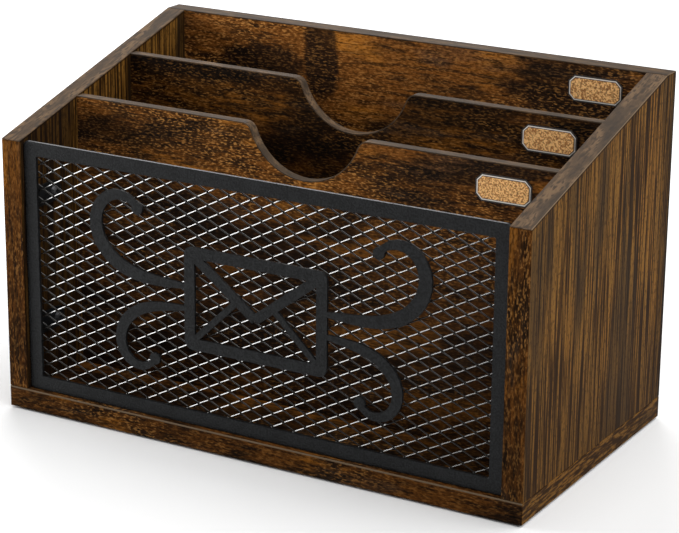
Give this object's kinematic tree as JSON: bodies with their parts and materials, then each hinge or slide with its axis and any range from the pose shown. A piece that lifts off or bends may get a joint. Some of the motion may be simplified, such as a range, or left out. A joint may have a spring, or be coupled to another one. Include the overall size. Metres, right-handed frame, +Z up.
{
  "type": "desk organizer",
  "caption": "Open-topped letter organizer with side boards that slope down to a steel mesh front, and cut-out dividers that make upright mail slots.",
  "frame": {"origin": "on the table, under the middle of the base", "axes": "+X to the right as seen from the front, -Y towards the mesh front, +Z up"},
  "size_m": [0.32, 0.175, 0.2],
  "materials": {
    "rustic_foil": "satin rustic dark brown wood-print foil on particle board",
    "edge_band": "satin plain grey-brown edge banding",
    "black_powder_coat": "satin black powder coat on steel",
    "black_oxide_screw": "black oxide",
    "label_card": "matt dark printed border with a pale keyline",
    "cork": "fine cork",
    "beech_dowel": "plain beech",
    "felt_pad": "dark felt"
  },
  "bodies": {
    "root": {"base_board": "rustic_foil", "left_side_board": "rustic_foil", "right_side_board": "rustic_foil", "back_board": "rustic_foil", "front_divider": "rustic_foil", "rear_divider": "rustic_foil", "base_front_band": "rustic_foil", "base_rear_band": "rustic_foil", "base_left_band": "rustic_foil", "base_right_band": "rustic_foil", "left_side_front_band": "rustic_foil", "right_side_front_band": "rustic_foil", "left_side_top_band": "edge_band", "right_side_top_band": "edge_band", "back_top_band": "edge_band", "back_left_band": "edge_band", "back_right_band": "edge_band", "front_divider_top_band": "edge_band", "rear_divider_top_band": "edge_band", "front_frame": "black_powder_coat", "mesh_panel": "black_powder_coat", "front_ornament": "black_powder_coat", "frame_tab_left_lower": "black_powder_coat", "frame_tab_left_upper": "black_powder_coat", "frame_tab_right_lower": "black_powder_coat", "frame_tab_right_upper": "black_powder_coat", "tab_screw_left_lower": "black_oxide_screw", "tab_screw_left_upper": "black_oxide_screw", "tab_screw_right_lower": "black_oxide_screw", "tab_screw_right_upper": "black_oxide_screw", "base_screw_left_front": "black_oxide_screw", "base_screw_left_rear": "black_oxide_screw", "base_screw_right_front": "black_oxide_screw", "base_screw_right_rear": "black_oxide_screw", "back_screw_left_low": "black_oxide_screw", "back_screw_left_high": "black_oxide_screw", "back_screw_right_low": "black_oxide_screw", "back_screw_right_high": "black_oxide_screw", "base_screw_back_left": "black_oxide_screw", "base_screw_back_right": "black_oxide_screw", "base_screw_front_divider_left": "black_oxide_screw", "base_screw_front_divider_right": "black_oxide_screw", "base_screw_rear_divider_left": "black_oxide_screw", "base_screw_rear_divider_right": "black_oxide_screw", "label_card_front": "label_card", "label_card_middle": "label_card", "label_card_rear": "label_card", "label_cork_front": "cork", "label_cork_middle": "cork", "label_cork_rear": "cork", "dowel_front_divider_left": "beech_dowel", "dowel_front_divider_right": "beech_dowel", "dowel_rear_divider_left": "beech_dowel", "dowel_rear_divider_right": "beech_dowel", "felt_pad_left_front": "felt_pad", "felt_pad_left_rear": "felt_pad", "felt_pad_right_front": "felt_pad", "felt_pad_right_rear": "felt_pad"}
  },
  "joints": []
}
